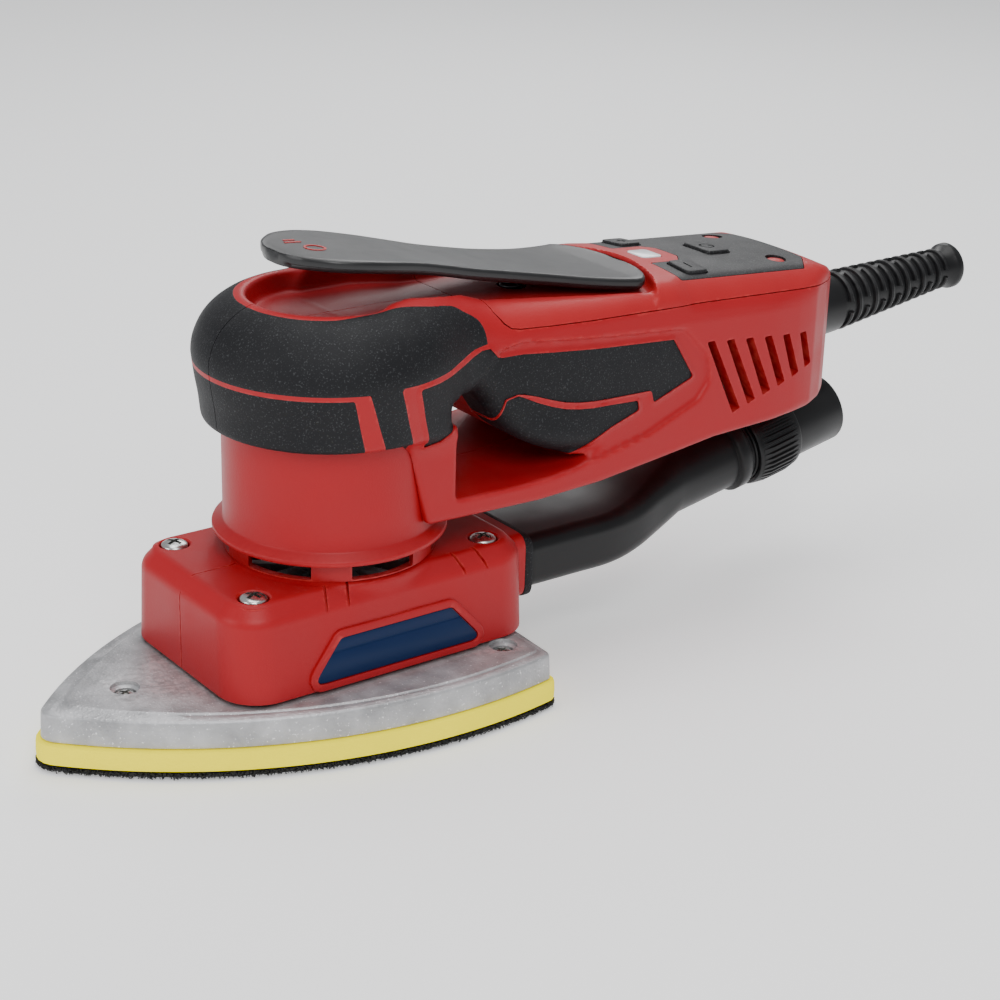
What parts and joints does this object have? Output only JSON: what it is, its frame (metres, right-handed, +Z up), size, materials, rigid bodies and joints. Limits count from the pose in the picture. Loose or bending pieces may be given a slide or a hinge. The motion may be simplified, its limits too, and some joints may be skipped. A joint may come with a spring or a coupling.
{
  "type": "orbital sander",
  "caption": "Corded palm orbital sander: a delta pad under a boxed shroud, an upright motor column, a paddle lever over a rubber-banded head, a grip with a finger gap, and a dust duct below it.",
  "frame": {"origin": "on the motor shaft's axis, at the hook facing's lower face, where the sander meets the work", "axes": "+X towards the cable, +Y to the side away from the name plate, +Z up"},
  "size_m": [0.3628, 0.1082, 0.1422],
  "materials": {
    "red_plastic": "fine textured red moulding",
    "black_plastic": "fine textured black moulding",
    "black_rubber": "grainy soft-touch rubber",
    "cast_aluminium": "bare die casting, dull",
    "steel": "zinc-plated or ground steel",
    "copper_wire": "enamelled copper winding",
    "yellow_foam": "closed-cell yellow foam",
    "hook_cloth": "black hook facing",
    "navy_plate": "smooth dark blue plate with no text",
    "circuit_board": "green laminate",
    "white_lens": "milky indicator window"
  },
  "bodies": {
    "housing": {"lower_bearing": "steel", "upper_bearing": "steel", "lower_end_bell": "cast_aluminium", "upper_end_bell": "cast_aluminium", "stator_core": "steel", "winding_lower": "copper_wire", "winding_upper": "copper_wire", "motor_housing": "red_plastic", "shroud": "red_plastic", "shroud_screw_1": "steel", "shroud_screw_2": "steel", "shroud_screw_3": "steel", "shroud_screw_4": "steel", "support_leg_1": "black_rubber", "support_leg_2": "black_rubber", "support_leg_3": "black_rubber", "support_leg_4": "black_rubber", "name_plate": "navy_plate", "duct_seal": "black_rubber", "dust_duct": "black_plastic", "body_left": "red_plastic", "body_right": "red_plastic", "housing_screw_1": "steel", "housing_screw_2": "steel", "housing_screw_3": "steel", "housing_screw_4": "steel", "grip_upper_left": "black_rubber", "grip_upper_right": "black_rubber", "grip_lower_left": "black_rubber", "grip_lower_right": "black_rubber", "side_grip_left": "black_rubber", "side_grip_right": "black_rubber", "belly_grip_left": "black_rubber", "belly_grip_right": "black_rubber", "top_cover": "red_plastic", "control_board": "circuit_board", "control_panel": "black_plastic", "led_window": "white_lens", "lever_pin": "steel", "lever_spring": "steel", "lever_switch": "black_plastic", "cable_boot": "black_rubber", "cable_clamp": "black_plastic"},
    "spindle": {"motor_shaft": "steel", "rotor": "steel", "fan": "cast_aluminium"},
    "pad": {"pad_plate": "cast_aluminium", "foam_pad": "yellow_foam", "hook_facing": "hook_cloth", "pad_screw_tip": "steel", "pad_screw_left": "steel", "pad_screw_right": "steel", "orbit_bearing": "steel"},
    "lever": {"lever": "black_plastic"},
    "plus_button": {"plus_button": "black_rubber"},
    "minus_button": {"minus_button": "black_rubber"},
    "power_button": {"power_button": "black_rubber"},
    "hose_swivel": {"hose_outlet": "black_plastic", "hose_collar": "black_plastic"}
  },
  "joints": [
    {"name": "spindle_spin", "type": "hinge", "parent": "housing", "child": "spindle", "pos_m": [0, 0, 0.05], "axis": [0, 0, 1], "continuous": true},
    {"name": "pad_orbit", "type": "hinge", "parent": "spindle", "child": "pad", "pos_m": [0.0015, 0, 0.014], "axis": [0, 0, 1], "continuous": true},
    {"name": "lever_press", "type": "hinge", "parent": "housing", "child": "lever", "pos_m": [0.097, 0, 0.1166], "axis": [0, -1, 0], "range_deg": [0, 3.2], "stiffness_Nm_per_rad": 4, "springref_deg": -2.86, "deforming": ["lever_spring"]},
    {"name": "plus_button_press", "type": "slide", "parent": "housing", "child": "plus_button", "axis": [-0.076, 0, -0.9971], "range_m": [0, 0.0006], "stiffness_N_per_m": 900, "springref_m": -0.0004},
    {"name": "minus_button_press", "type": "slide", "parent": "housing", "child": "minus_button", "axis": [-0.076, 0, -0.9971], "range_m": [0, 0.0006], "stiffness_N_per_m": 900, "springref_m": -0.0004},
    {"name": "power_button_press", "type": "slide", "parent": "housing", "child": "power_button", "axis": [-0.076, 0, -0.9971], "range_m": [0, 0.0006], "stiffness_N_per_m": 900, "springref_m": -0.0004},
    {"name": "hose_turn", "type": "hinge", "parent": "housing", "child": "hose_swivel", "pos_m": [0.15, 0, 0.0429], "axis": [0.9833, 0, 0.1822], "continuous": true}
  ],
  "couplings": [
    {"joint": "pad_orbit", "follows": "spindle_spin", "ratio": -1}
  ]
}
